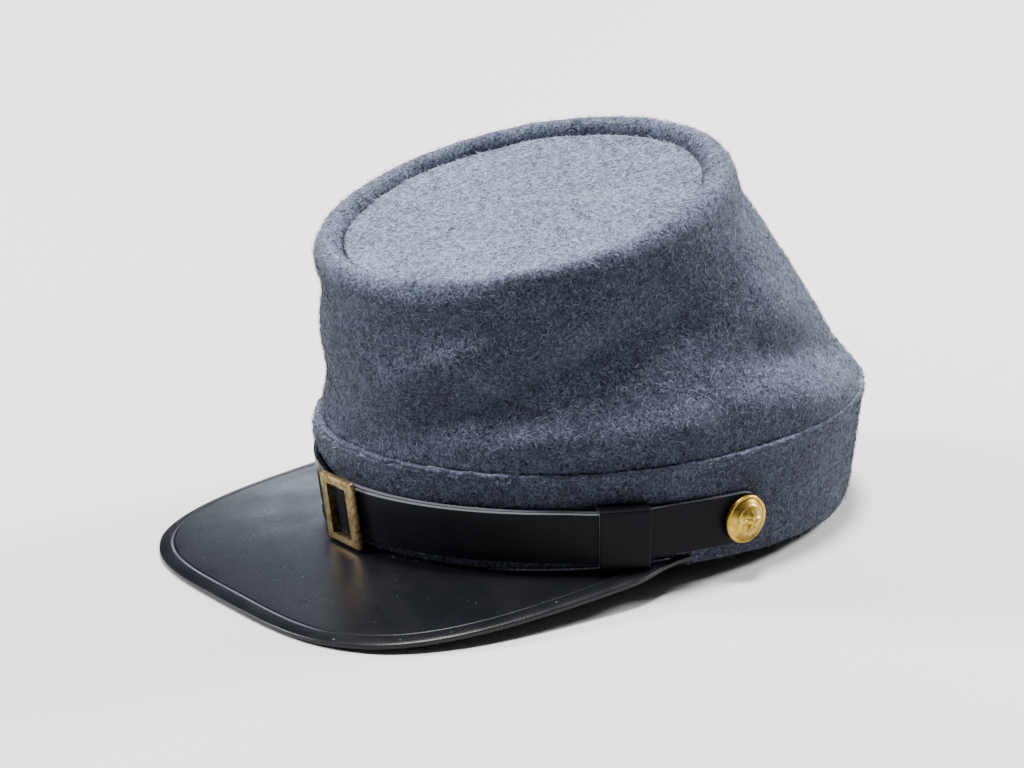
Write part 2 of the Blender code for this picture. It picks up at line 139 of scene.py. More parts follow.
# %% [markdown]
# ## The light
# The light in the picture is soft and comes from above and a little behind, so the top is
# the brightest place and the near wall stays in its own shade. A soft sun stands nearly
# overhead, so the paper is equally pale everywhere. Weaker lamps by the peak and behind
# give the cap light edges, and a dim room fills the shadows.

# %% Lamps
ROOM_COLOUR = (0.93, 0.95, 1.0, 1)
ROOM_STRENGTH = 0.08
SKY_COLOUR = (1.0, 0.99, 0.97)
SKY_STRENGTH = 6.2
SKY_SOFTNESS = math.radians(14)
SKY_HEADING = (0.08, -0.08, -1.7)

Lamp = namedtuple("Lamp", "name place aim size power colour")
LAMPS = (
    Lamp("peak_lamp", (-1.1, -1.1, 0.9), (0, -0.05, 0.05), 0.5, 48, (0.97, 0.98, 1.0)),
    Lamp("rear_lamp", (0.2, 1.5, 0.8), (0, 0.05, 0.05), 0.5, 48, (0.97, 0.98, 1.0)),
    Lamp("sheen_lamp", (-1.3, 0.9, 0.5), (-0.05, -0.12, 0.0), 0.8, 6, (0.78, 0.9, 1.0)),
)

room = bpy.data.worlds.new("room")
bpy.context.scene.world = room
room.use_nodes = True
room.node_tree.nodes["Background"].inputs["Color"].default_value = ROOM_COLOUR
room.node_tree.nodes["Background"].inputs["Strength"].default_value = ROOM_STRENGTH


def hang_lamp(name, light, heading):
    body = bpy.data.objects.new(name, light)
    bpy.context.scene.collection.objects.link(body)
    body.rotation_mode = "QUATERNION"
    body.rotation_quaternion = Vector(heading).to_track_quat("-Z", "Y")
    return body


sky = bpy.data.lights.new("sky_lamp", "SUN")
sky.energy = SKY_STRENGTH
sky.angle = SKY_SOFTNESS
sky.color = SKY_COLOUR
hang_lamp("sky_lamp", sky, SKY_HEADING)
for row in LAMPS:
    light = bpy.data.lights.new(row.name, "AREA")
    light.shape = "DISK"
    light.size = row.size
    light.energy = row.power
    light.color = row.colour
    hang_lamp(row.name, light, Vector(row.aim) - Vector(row.place)).location = row.place
    print(row.name, row.power, "W")

# %% [markdown]
# ## Small helpers for materials
# A material is a few nodes joined by name, so one function adds a node and another joins
# two sockets. Patterns read the piece's own coordinates, so they stay on it when it moves.

# %% Material helpers
def new_material(name, colour, roughness, metallic=0.0):
    material = bpy.data.materials.new(name)
    material.use_nodes = True
    shader = material.node_tree.nodes["Principled BSDF"]
    shader.inputs["Base Color"].default_value = colour
    shader.inputs["Roughness"].default_value = roughness
    shader.inputs["Metallic"].default_value = metallic
    print("material", name)
    return material, material.node_tree, shader


def add(tree, kind, **values):
    node = tree.nodes.new(kind)
    for name, value in values.items():
        setattr(node, name, value)
    return node


def noise_at(tree, scale, detail=2.0, distortion=0.0, stretch=None):
    place = add(tree, "ShaderNodeTexCoord")
    pattern = add(tree, "ShaderNodeTexNoise")
    pattern.inputs["Scale"].default_value = scale
    pattern.inputs["Detail"].default_value = detail
    pattern.inputs["Distortion"].default_value = distortion
    source = place.outputs["Object"]
    if stretch:
        mapping = add(tree, "ShaderNodeMapping")
        mapping.inputs["Scale"].default_value = stretch
        tree.links.new(source, mapping.inputs["Vector"])
        source = mapping.outputs["Vector"]
    tree.links.new(source, pattern.inputs["Vector"])
    return pattern.outputs["Fac"]


def grey(value):
    return (value, value, value, 1)


def ramp(tree, source, stops):
    node = add(tree, "ShaderNodeValToRGB")
    while len(node.color_ramp.elements) < len(stops):
        node.color_ramp.elements.new(0.5)
    for element, (place, colour) in zip(node.color_ramp.elements, stops):
        element.position = place
        element.color = colour
    tree.links.new(source, node.inputs["Fac"])
    return node.outputs["Color"]


# %% [markdown]
# The node that mixes colours has a set of sockets for each kind of value. Those for colours
# are found by number: 0 is the amount, 6 and 7 are the two colours, and output 2 is the mix.

# %% Mixing and relief
def multiply(tree, amount, first, second):
    node = add(tree, "ShaderNodeMix", data_type="RGBA", blend_type="MULTIPLY")
    node.inputs[0].default_value = amount
    tree.links.new(first, node.inputs[6])
    tree.links.new(second, node.inputs[7])
    return node.outputs[2]


def bump(tree, shader, source, strength, distance):
    node = add(tree, "ShaderNodeBump")
    node.inputs["Strength"].default_value = strength
    node.inputs["Distance"].default_value = distance
    tree.links.new(source, node.inputs["Height"])
    tree.links.new(node.outputs["Normal"], shader.inputs["Normal"])


# %% [markdown]
# ## Painted light and shade on the cloth
# Cloth that faces up is painted lighter, as painted light from above, and cloth that faces sideways or down,
# as under a fold, is painted darker, as painted shade. Each wool mesh stores a value named upward, the
# upward part of its normal, and a ramp turns it into a factor that darkens or lightens whatever colour comes
# in.

# %% Painted light and shade
# Painted light and shade: stops from cloth facing down or sideways (0) to cloth facing up (1).
PAINTED_FACING_LIGHT_STOPS = [
    (0.0, (0.40, 0.405, 0.42, 1)), (0.3, (0.52, 0.525, 0.54, 1)),
    (0.65, (0.92, 0.92, 0.93, 1)), (1.0, (1.42, 1.42, 1.42, 1)),
]


def painted_facing_light(tree, colour):
    upward = add(tree, "ShaderNodeAttribute", attribute_name="upward")
    return multiply(tree, 1.0, colour, ramp(tree, upward.outputs["Fac"], PAINTED_FACING_LIGHT_STOPS))


# %% [markdown]
# ## The crown's upright seam
# The crown wall is closed by one upright seam near the front. It is a narrow groove where the
# cloth is darker and lower. A point's distance from an upright plane through the cap's middle
# finds it, and points behind the middle are left out.

# %% Crown seam
CROWN_SEAM = math.radians(8)
SEAM_HALF_WIDTH = 0.004
SEAM_SHADE = 0.4


def crown_seam_groove(tree, seam_at):
    place = add(tree, "ShaderNodeTexCoord")
    split = add(tree, "ShaderNodeSeparateXYZ")
    tree.links.new(place.outputs["Object"], split.inputs["Vector"])
    beside = add(tree, "ShaderNodeVectorMath", operation="DOT_PRODUCT")
    tree.links.new(place.outputs["Object"], beside.inputs[0])
    sideways = (math.cos(seam_at) / SEAM_HALF_WIDTH, math.sin(seam_at) / SEAM_HALF_WIDTH, 0)
    beside.inputs[1].default_value = sideways
    away = add(tree, "ShaderNodeMath", operation="ABSOLUTE")
    tree.links.new(beside.outputs["Value"], away.inputs[0])
    rear = add(tree, "ShaderNodeMath", operation="GREATER_THAN")
    tree.links.new(split.outputs["Y"], rear.inputs[0])
    rear.inputs[1].default_value = 0.0
    reach = add(tree, "ShaderNodeMath", operation="MAXIMUM")
    tree.links.new(away.outputs[0], reach.inputs[0])
    tree.links.new(rear.outputs[0], reach.inputs[1])
    return ramp(tree, reach.outputs[0], [(0.06, grey(0.45)), (0.3, grey(1))])


# %% [markdown]
# ## Wool cloth
# The cloth is fulled: dark navy and pale grey fibres were mixed before spinning, then the
# weave was felted over. From a step away it is one blue grey, and close to it is flecked.
# Two fine noises, one of them drawn out into short strokes, choose between the dark and the
# pale fibre. A coarser one gathers the fibres into clumps, and a slow one makes soft clouds.

# %% Wool
DARK_WOOL = (0.022, 0.026, 0.042, 1)
PALE_WOOL = (0.152, 0.175, 0.236, 1)
# The round top is the same cloth as the wall, given lighter colours as painted light because it faces the
# light from above.
PAINTED_LIT_TOP_DARK = (0.040, 0.048, 0.073, 1)
PAINTED_LIT_TOP_PALE = (0.208, 0.234, 0.305, 1)


def wool_material(name, dark, pale, share, seam_at=None):
    material, tree, shader = new_material(name, pale, 1.0)
    fleck = noise_at(tree, 1150.0, 4.0, 0.8)
    stroke = noise_at(tree, 700.0, 4.0, 1.6, (1.0, 1.0, 1.6))
    clump = noise_at(tree, 300.0, 3.0, 1.0)
    cloud = noise_at(tree, 60.0, 5.0)
    colour = ramp(tree, fleck, [(share - 0.16, dark), (share + 0.17, pale)])
    streaks = ramp(tree, stroke, [(0.36, (0.72, 0.72, 0.75, 1)), (0.64, (1.24, 1.25, 1.28, 1))])
    clouds = ramp(tree, cloud, [(0.3, (0.84, 0.84, 0.85, 1)), (0.7, grey(1.14))])
    clumps = ramp(tree, clump, [(0.34, (0.78, 0.78, 0.80, 1)), (0.66, grey(1.2))])
    for pattern in (streaks, clouds, clumps):
        colour = multiply(tree, 1.0, colour, pattern)
    # Painted light on cloth that faces up, painted shade on cloth that faces sideways or down.
    colour = painted_facing_light(tree, colour)
    height = fleck
    if seam_at is not None:
        groove = crown_seam_groove(tree, seam_at)
        colour = multiply(tree, SEAM_SHADE, colour, groove)
        height = multiply(tree, 1.0, fleck, groove)
    tree.links.new(colour, shader.inputs["Base Color"])
    shader.inputs["Specular IOR Level"].default_value = 0.1
    shader.inputs["Sheen Weight"].default_value = 0.08
    shader.inputs["Sheen Roughness"].default_value = 0.5
    bump(tree, shader, height, 0.6, 0.0005)
    return material


WOOL = wool_material("wool_cloth", DARK_WOOL, PALE_WOOL, 0.5)
CROWN_WOOL = wool_material("wool_cloth_crown", DARK_WOOL, PALE_WOOL, 0.5, CROWN_SEAM)
# The top's lighter wool is painted light.
PAINTED_LIT_TOP_CLOTH = wool_material("wool_cloth_top", PAINTED_LIT_TOP_DARK, PAINTED_LIT_TOP_PALE, 0.48)


# %% [markdown]
# ## Softening the plain solids
# A solid from the model is a coarse mesh of loose triangles. Its copy is welded, paired back
# into four sided faces and subdivided, which turns hard folds into the rounded ones that
# cloth makes. Leather keeps firmer corners, so its sharp edges may be given a crease.

# %% Soft copies
WELD = 2e-6
PAIR_BEND = math.radians(50)
PAIR_SKEW = math.radians(60)
CORNER = math.radians(35)


def soft_copy(node, name, levels, crease=0.0):
    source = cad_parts[node]
    data = source.data.copy()
    data.name = name
    data.materials.clear()
    mesh = bmesh.new()
    mesh.from_mesh(data)
    bmesh.ops.remove_doubles(mesh, verts=mesh.verts, dist=WELD)
    bmesh.ops.join_triangles(
        mesh, faces=mesh.faces, cmp_seam=False, cmp_sharp=False, cmp_uvs=False, cmp_vcols=False,
        cmp_materials=False, angle_face_threshold=PAIR_BEND, angle_shape_threshold=PAIR_SKEW,
    )
    layer = mesh.edges.layers.float.get("crease_edge") or mesh.edges.layers.float.new("crease_edge")
    for edge in mesh.edges:
        if crease and edge.calc_face_angle(0.0) > CORNER:
            edge[layer] = crease
    mesh.to_mesh(data)
    mesh.free()
    body = bpy.data.objects.new(name, data)
    bpy.context.scene.collection.objects.link(body)
    smooth = body.modifiers.new("smooth", "SUBSURF")
    smooth.levels = levels
    smooth.render_levels = levels
    graph = bpy.context.evaluated_depsgraph_get()
    done = bpy.data.meshes.new_from_object(body.evaluated_get(graph))
    body.modifiers.clear()
    body.data = done
    for polygon in done.polygons:
        polygon.use_smooth = True
    return body


band = soft_copy("headband", "wool_band", 2)
crown = soft_copy("crown_wall", "wool_crown", 2)
top = soft_copy("top_disc", "wool_top", 2)
for body in (band, crown, top):
    print(body.name, len(body.data.vertices), "points")

# %% [markdown]
# ## Small rumples
# Cloth is never quite smooth. A small push along the normals, different at every place and
# taken from noises of a few sizes, keeps the soft copies from looking machined. Numpy reads
# and writes all the points at once, because a loop over them would be slow.

# %% Rumples
def points_of(body):
    place = np.empty(len(body.data.vertices) * 3)
    normal = np.empty(len(body.data.vertices) * 3)
    body.data.vertices.foreach_get("co", place)
    body.data.vertices.foreach_get("normal", normal)
    return place.reshape(-1, 3), normal.reshape(-1, 3)


def put_points(body, place):
    body.data.vertices.foreach_set("co", place.ravel())
    body.data.update()


Rumple = namedtuple("Rumple", "scale height")


def rumple(body, rows):
    place, normal = points_of(body)
    push = np.zeros(len(place))
    for row in rows:
        push += np.array([noise.noise(Vector(p) * row.scale) for p in place]) * row.height
    put_points(body, place + normal * push[:, None])
    print(body.name, "rumpled by up to", round(float(np.abs(push).max()) * 1000, 2), "mm")


rumple(band, (Rumple(60, 0.0003), Rumple(240, 0.00012)))
rumple(crown, (Rumple(45, 0.0006), Rumple(150, 0.0003), Rumple(420, 0.0001)))
rumple(top, (Rumple(40, 0.0007), Rumple(130, 0.0003)))

# %% [markdown]
# ## The slump of the wall
# The crown wall has sagged under its own top. The main folds are in the model, and the softer
# ones are drawn here. Each is a line from one angle and height to another, a width over which
# it fades, and a push, in for a hollow and out for a ridge. Distances round the wall are
# measured on a cylinder of about the cap's radius, as if the wall were unrolled.

# %% Slump
Slump = namedtuple("Slump", "angle height end_angle end_height spread push")
SLUMPS = (
    Slump(14, 0.094, 46, 0.097, 0.0065, -0.0024),
    Slump(6, 0.058, 54, 0.092, 0.0060, 0.0007),
    Slump(22, 0.052, 74, 0.082, 0.0080, -0.0032),
    Slump(38, 0.046, 76, 0.050, 0.0065, 0.0018),
    Slump(100, 0.068, 136, 0.058, 0.0070, -0.0017),
    Slump(94, 0.052, 142, 0.040, 0.0065, 0.0009),
)
WALL_RADIUS = 0.08
WALL_MIDDLE = 0.004


def slump(body):
    place, _ = points_of(body)
    level = made_level(place)
    angle = np.arctan2(level[:, 0], -(level[:, 1] - WALL_MIDDLE))
    spot = np.stack([angle * WALL_RADIUS, level[:, 2]], axis=1)
    push = np.zeros(len(place))
    for row in SLUMPS:
        start = np.array([math.radians(row.angle) * WALL_RADIUS, row.height])
        end = np.array([math.radians(row.end_angle) * WALL_RADIUS, row.end_height])
        way = end - start
        share = np.clip(((spot - start) @ way) / (way @ way), 0, 1)
        far = np.linalg.norm(spot - start - share[:, None] * way, axis=1)
        push += row.push * np.exp(-((far / row.spread) ** 2))
    put_points(body, place + outward_at(angle) * push[:, None])
    print(body.name, "pushed", [round(float(v) * 1000, 2) for v in (push.min(), push.max())], "mm")


slump(crown)

# %% [markdown]
# ## The band and the round top
# The strap is drawn tight, so the band bulges a little over it at the front. The band's lower
# edge is sewn inside the root of the peak, so it dips there and lets no light through. The
# round top is tucked into the rolled rim, so it is made a little wider.

# %% Band and top
DIP = 0.0024
DIP_SPREAD = 0.8
DIP_HEIGHT = 0.003
SWELL = 0.0024
SWELL_LEVEL = 0.0385
SWELL_HEIGHT = 0.0045
SWELL_ANGLE = -0.7
SWELL_SPREAD = 0.7
TOP_GROWTH = 1.015

place, _ = points_of(band)
level = made_level(place)
ahead = np.arctan2(level[:, 0], -level[:, 1])
low = np.exp(-((np.maximum(level[:, 2], 0) / DIP_HEIGHT) ** 2))
place[:, 2] -= DIP * np.exp(-((ahead / DIP_SPREAD) ** 2)) * low
angle = np.arctan2(place[:, 0], -(place[:, 1] - REST_SHIFT.y))
over_strap = np.exp(-(((place[:, 2] - SWELL_LEVEL) / SWELL_HEIGHT) ** 2))
swell = over_strap * np.exp(-(((angle - SWELL_ANGLE) / SWELL_SPREAD) ** 2))
put_points(band, place + outward_at(angle) * (SWELL * swell)[:, None])
place, _ = points_of(top)
centre = (place.max(axis=0) + place.min(axis=0)) / 2
put_points(top, centre + (place - centre) * np.array([TOP_GROWTH, TOP_GROWTH, 1.0]))
print("top", [round(float(v) * 1000, 1) for v in np.ptp(place, axis=0)], "mm before it is tucked in")


# %% [markdown]
# ## Dressing a piece
# Every finished piece gets its material, rides on the cap's one body, and takes the place of a
# plain solid where it has one.

# %% Dressing
def dress(body, material, slot, *nodes):
    body.data.materials.clear()
    body.data.materials.append(material)
    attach(body, "root")
    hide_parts(*nodes)
    body.data.calc_loop_triangles()
    print(body.name, len(body.data.loop_triangles), "triangles")


dress(band, WOOL, "wool", "headband")
dress(crown, CROWN_WOOL, "wool", "crown_wall")
dress(top, PAINTED_LIT_TOP_CLOTH, "wool_top", "top_disc")

# %% [markdown]
# ## The pinched seam
# Where the crown meets the band both layers are turned out and stitched together, which
# leaves a thin raised ridge all the way round. A fixed oval would miss the softened cloth, so
# rays find the edge: from far out, at rising heights, until the crown is met before the band.
# The last point met on the band is its top edge there.

# %% Seam path
SEAM_LOWEST = 0.026
SEAM_TRY = 0.0003
SEAM_TRIES = 90
SEAM_FAR = 0.2
SEAM_OUT = 0.0002
cloth_graph = bpy.context.evaluated_depsgraph_get()
band_tree = BVHTree.FromObject(band, cloth_graph)
crown_tree = BVHTree.FromObject(crown, cloth_graph)


def seam_point(angle):
    """The band's outer top edge at an angle round the cap, and the way out there."""
    away = Vector((math.sin(angle), -math.cos(angle), 0))
    edge = None
    for step in range(SEAM_TRIES):
        middle = Vector((0, WALL_MIDDLE, SEAM_LOWEST + step * SEAM_TRY))
        start = at_rest(middle + away * SEAM_FAR)
        heading = at_rest(middle) - start
        spot, _, _, band_far = band_tree.ray_cast(start, heading)
        _, _, _, crown_far = crown_tree.ray_cast(start, heading)
        if spot is None or band_far > SEAM_FAR or (crown_far is not None and crown_far < band_far):
            break
        edge = spot
    return edge + away * SEAM_OUT, away


# %% [markdown]
# The ridge is a closed tube along that path. It stands a little proud of the cloth and goes
# further in than out, so that it also fills the slit between the band and the crown. A slow
# noise makes it thicker and thinner, as hand sewing does.

# %% Seam ridge
SEAM_STEPS = 320
SEAM_SIDES = 12
SEAM_PROUD = 0.0011
SEAM_INSIDE = 0.0024
SEAM_RISE = 0.0010
SEAM_UNEVEN = 0.25


def closed_tube(name, rings):
    """Rings of points, joined one to the next and the last to the first."""
    mesh = bmesh.new()
    verts = [[mesh.verts.new(p) for p in ring] for ring in rings]
    count, round_count = len(verts), len(verts[0])
    for i in range(count):
        for j in range(round_count):
            k = (j + 1) % round_count
            mesh.faces.new((verts[i][j], verts[i][k], verts[(i + 1) % count][k], verts[(i + 1) % count][j]))
    bmesh.ops.recalc_face_normals(mesh, faces=mesh.faces)
    return finished(name, mesh)


def finished(name, mesh):
    """The object made from a bmesh, shaded smooth."""
    data = bpy.data.meshes.new(name)
    mesh.to_mesh(data)
    mesh.free()
    for polygon in data.polygons:
        polygon.use_smooth = True
    body = bpy.data.objects.new(name, data)
    bpy.context.scene.collection.objects.link(body)
    return body


rings = []
for step in range(SEAM_STEPS):
    middle, away = seam_point(step * math.tau / SEAM_STEPS)
    thick = 1.0 + SEAM_UNEVEN * noise.noise(middle * 160)
    ring = []
    for part in range(SEAM_SIDES):
        side = part * math.tau / SEAM_SIDES
        reach = SEAM_PROUD if math.cos(side) > 0 else SEAM_INSIDE
        rise = Vector((0, 0, SEAM_RISE * thick * math.sin(side)))
        ring.append(middle + away * reach * thick * math.cos(side) + rise)
    rings.append(ring)
ridge = closed_tube("wool_seam", rings)
dress(ridge, WOOL, "wool")

# %% [markdown]
# ## One loose fibre
# Fulled wool is never clean: short hairs lie over the cloth and stand up a little at its
# edge. One hair is a bent spindle of six triangles, one unit tall, because there will be
# tens of thousands of them.

# %% Hair
HAIR_HALF_WIDTH = 0.028
HAIR_BEND = 0.16
HAIR_TIP = 0.02


def hair_mesh():
    data = bpy.data.meshes.new("hair")
    ring = [
        (HAIR_BEND + HAIR_HALF_WIDTH * math.cos(a), HAIR_HALF_WIDTH * math.sin(a), 0.5)
        for a in (0, 2.1, 4.2)
    ]
    points = [(0, 0, 0)] + ring + [(HAIR_TIP, 0, 1)]
    faces = [(0, 2, 1), (0, 3, 2), (0, 1, 3), (4, 1, 2), (4, 2, 3), (4, 3, 1)]
    data.from_pydata(points, [], faces)
    return bpy.data.objects.new("hair", data)


HAIR = hair_mesh()
print("hair", len(HAIR.data.polygons), "triangles")


# %% [markdown]
# ## Where fibres grow
# Two values are stored at every point of the cloth. The one named upward says how far the
# point faces up, for the painted light and shade. The one named seen is 1 on the outer side and 0 on the
# inner side and near the floor, and the scatter multiplies its density by it.

# %% Marks on the cloth
OUTER_MIDDLE = np.array([0.0, 0.012])
FACES_OUT = 0.15
FACES_UP = 0.35


def mark_outside(body, hidden_below):
    place, normal = points_of(body)
    radial = place[:, :2] - OUTER_MIDDLE
    radial /= np.linalg.norm(radial, axis=1, keepdims=True)
    outward = (normal[:, :2] * radial).sum(1)
    # upward sets the painted light and shade of the cloth.
    upward = body.data.attributes.new("upward", "FLOAT", "POINT")
    upward.data.foreach_set("value", np.clip(normal[:, 2], 0, 1).astype(np.float32))
    seen = ((outward > FACES_OUT) | (normal[:, 2] > FACES_UP)) & (place[:, 2] > hidden_below)
    layer = body.data.attributes.new("seen", "FLOAT", "POINT")
    layer.data.foreach_set("value", seen.astype(np.float32))
    print(body.name, round(float(seen.mean()) * 100), "% of the points are seen")


mark_outside(band, 0.0045)
mark_outside(crown, 0.04)
mark_outside(top, 0.06)
mark_outside(ridge, 0.0)


# %% [markdown]
# ## Scattering the fibres
# Geometry Nodes puts a hair at random points of the seen side, each with its own turn, lean
# and length, and gives each a shade, so some are pale and some dark. The small helpers below
# are the steps of that tree: a random number, a product, and a turn about one axis.

# %% Steps of the scatter
def random_between(tree, low, high, seed):
    node = add(tree, "FunctionNodeRandomValue", data_type="FLOAT")
    node.inputs["Min"].default_value = low
    node.inputs["Max"].default_value = high
    node.inputs["Seed"].default_value = seed
    return node.outputs[1]


def product(tree, first, second):
    node = add(tree, "ShaderNodeMath", operation="MULTIPLY")
    tree.links.new(first, node.inputs[0])
    tree.links.new(second, node.inputs[1])
    return node.outputs[0]


def turned(tree, rotation, axis, angle):
    amount = add(tree, "ShaderNodeCombineXYZ")
    node = add(tree, "FunctionNodeRotateRotation", rotation_space="LOCAL")
    tree.links.new(angle, amount.inputs[axis])
    tree.links.new(rotation, node.inputs["Rotation"])
    tree.links.new(amount.outputs[0], node.inputs["Rotate By"])
    return node.outputs[0]


# %% [markdown]
# The tree has named inputs for its sizes and fixed seeds, so that every run gives the same
# fibres. It ends by making the copies real and giving them their material.

# %% Scatter tree
SPREAD_SEED = 7
LEAN_SEED = 3
TURN_SEED = 11
LENGTH_SEED = 5
SHADE_SEED = 17


def scatter_tree(name, material):
    tree = bpy.data.node_groups.new(name, "GeometryNodeTree")
    tree.interface.new_socket("Cloth", in_out="INPUT", socket_type="NodeSocketGeometry")
    for label in ("Density", "Length", "Lean"):
        tree.interface.new_socket(label, in_out="INPUT", socket_type="NodeSocketFloat")
    tree.interface.new_socket("Fibres", in_out="OUTPUT", socket_type="NodeSocketGeometry")
    link = tree.links.new
    start = add(tree, "NodeGroupInput")
    mask = add(tree, "GeometryNodeInputNamedAttribute", data_type="FLOAT")
    mask.inputs["Name"].default_value = "seen"
    spread = add(tree, "GeometryNodeDistributePointsOnFaces")
    spread.inputs["Seed"].default_value = SPREAD_SEED
    link(start.outputs["Cloth"], spread.inputs["Mesh"])
    link(product(tree, start.outputs["Density"], mask.outputs["Attribute"]), spread.inputs["Density"])
    lean = product(tree, start.outputs["Lean"], random_between(tree, 0.75, 1.0, LEAN_SEED))
    length = product(tree, start.outputs["Length"], random_between(tree, 0.45, 1.25, LENGTH_SEED))
    turn = random_between(tree, 0.0, math.tau, TURN_SEED)
    rotation = turned(tree, turned(tree, spread.outputs["Rotation"], "Z", turn), "X", lean)
    one = add(tree, "GeometryNodeObjectInfo")
    one.inputs["Object"].default_value = HAIR
    copies = add(tree, "GeometryNodeInstanceOnPoints")
    link(spread.outputs["Points"], copies.inputs["Points"])
    link(one.outputs["Geometry"], copies.inputs["Instance"])
    link(rotation, copies.inputs["Rotation"])
    link(length, copies.inputs["Scale"])
    store = add(tree, "GeometryNodeStoreNamedAttribute", data_type="FLOAT", domain="INSTANCE")
    store.inputs["Name"].default_value = "shade"
    link(copies.outputs["Instances"], store.inputs["Geometry"])
    link(random_between(tree, 0.0, 1.0, SHADE_SEED), store.inputs["Value"])
    real = add(tree, "GeometryNodeRealizeInstances")
    paint = add(tree, "GeometryNodeSetMaterial")
    paint.inputs["Material"].default_value = material
    end = add(tree, "NodeGroupOutput")
    link(store.outputs["Geometry"], real.inputs["Geometry"])
    link(real.outputs["Geometry"], paint.inputs["Geometry"])
    link(paint.outputs["Geometry"], end.inputs["Fibres"])
    return tree


# %% [markdown]
# The fibres' own material reads the shade that each hair carries, and takes the same painted
# light and shade as the cloth under it. A hair copies the values of the point it grows on, so upward is
# there too.

# %% Fibre material
def fibre_material(name, dark, pale):
    material, tree, shader = new_material(name, pale, 0.9)
    shade = add(tree, "ShaderNodeAttribute", attribute_name="shade")
    # Painted light and shade from the way the cloth under the hair faces.
    colour = painted_facing_light(tree, ramp(tree, shade.outputs["Fac"], [(0.35, dark), (0.6, pale)]))
    tree.links.new(colour, shader.inputs["Base Color"])
    shader.inputs["Specular IOR Level"].default_value = 0.1
    return material


HAIRS = fibre_material("wool_hair", (0.02, 0.024, 0.036, 1), (0.42, 0.46, 0.54, 1))
# The top's paler hairs are painted light as well.
PAINTED_LIT_HAIRS_ON_TOP = fibre_material("wool_hair_top", (0.026, 0.031, 0.046, 1), (0.50, 0.54, 0.62, 1))


# %% [markdown]
# A copy of each cloth grows its fibres, and the result is turned into a plain mesh. The
# numbers are hairs for each square metre, the length of a hair in metres and its lean in
# radians, where 1.57 would lie flat.

# %% Fibres
def input_key(tree, label):
    return next(i.identifier for i in tree.interface.items_tree if i.name == label and i.in_out == "INPUT")


def fibres_on(cloth, name, material, slot, density, length, lean):
    tree = scatter_tree(name + "_nodes", material)
    grower = bpy.data.objects.new(name, cloth.data.copy())
    bpy.context.scene.collection.objects.link(grower)
    step = grower.modifiers.new("scatter", "NODES")
    step.node_group = tree
    step[input_key(tree, "Density")] = density
    step[input_key(tree, "Length")] = length
    step[input_key(tree, "Lean")] = lean
    graph = bpy.context.evaluated_depsgraph_get()
    made = bpy.data.meshes.new_from_object(grower.evaluated_get(graph))
    grower.modifiers.clear()
    grower.data = made
    dress(grower, material, slot)


fibres_on(band, "wool_band_fibres", HAIRS, "wool", 7.5e5, 0.0027, 1.5)
fibres_on(crown, "wool_crown_fibres", HAIRS, "wool", 5.6e5, 0.0027, 1.5)
fibres_on(top, "wool_top_fibres", PAINTED_LIT_HAIRS_ON_TOP, "wool_top", 1.5e6, 0.0024, 1.52)

# %% [markdown]
# ## Leather
# The peak and the strap are black waxed cowhide. It is nearly black all through, so most of
# what the eye gets is the soft reflection of the room, broken up by a fine grain and by
# fingermarks. The peak has one line pressed into it a few millimetres inside its edge, and a
# few specks of dust.

# %% Peak leather
PEAK_BLACK = (0.005, 0.0055, 0.008, 1)
DUST = (0.10, 0.11, 0.12, 1)


def leather_material(name, colour, gloss, shine):
    material, tree, shader = new_material(name, colour, gloss)
    marks = noise_at(tree, 55.0, 4.0)
    grain = noise_at(tree, 1500.0, 3.0)
    rough = ramp(tree, marks, [(0.3, grey(gloss - 0.06)), (0.75, grey(gloss + 0.12))])
    tree.links.new(rough, shader.inputs["Roughness"])
    shader.inputs["Specular IOR Level"].default_value = shine
    return material, tree, shader, grain


def peak_material():
    material, tree, shader, grain = leather_material("leather_peak", PEAK_BLACK, 0.31, 0.24)
    edge = add(tree, "ShaderNodeAttribute", attribute_name="edge_distance")
    line_stops = [(0.0, grey(1)), (0.43, grey(1)), (0.50, grey(0.6)), (0.57, grey(1))]
    line = ramp(tree, edge.outputs["Fac"], line_stops)
    height = multiply(tree, 1.0, line, ramp(tree, grain, [(0.3, grey(0.96)), (0.7, grey(1))]))
    wrinkle = noise_at(tree, 130.0, 5.0, 2.0, (1.0, 0.5, 1.0))
    crease = ramp(tree, wrinkle, [(0.12, grey(0.965)), (0.6, grey(1))])
    height = multiply(tree, 1.0, height, crease)
    bump(tree, shader, height, 1.0, 0.0006)
    specks = noise_at(tree, 800.0, 0.0)
    dust = ramp(tree, specks, [(0.845, PEAK_BLACK), (0.87, DUST)])
    tree.links.new(dust, shader.inputs["Base Color"])
    return material


PEAK_LEATHER = peak_material()


# %% [markdown]
# The strap's cut edges were left grey. A value named cut_edge, stored on each strap piece
# further down, is 1 on such an edge.

# %% Strap leather
STRAP_BLACK = (0.005, 0.0055, 0.0075, 1)
CUT_LEATHER = (0.13, 0.14, 0.155, 1)


def strap_material():
    shown_colour = (0.003, 0.004, 0.007, 1)
    material, tree, shader, grain = leather_material("leather_strap", shown_colour, 0.36, 0.05)
    cut = add(tree, "ShaderNodeAttribute", attribute_name="cut_edge")
    colour = ramp(tree, cut.outputs["Fac"], [(0.25, STRAP_BLACK), (0.8, CUT_LEATHER)])
    tree.links.new(colour, shader.inputs["Base Color"])
    bump(tree, shader, grain, 0.25, 0.0002)
    return material


STRAP_LEATHER = strap_material()

# %% [markdown]
# ## The peak
# The peak's outline is a squared oval. The same rule that draws the outline tells how far
# any point is from the edge, and that distance is stored on the mesh, so the pressed line
# follows the edge exactly whatever the mesh is like.

# %% Peak
PEAK_REACH = 0.1265
PEAK_HALF_WIDTH = 0.0885
PEAK_SQUARENESS = 3.7
PEAK_SETBACK = 0.0225
LINE_INSET = 0.0052

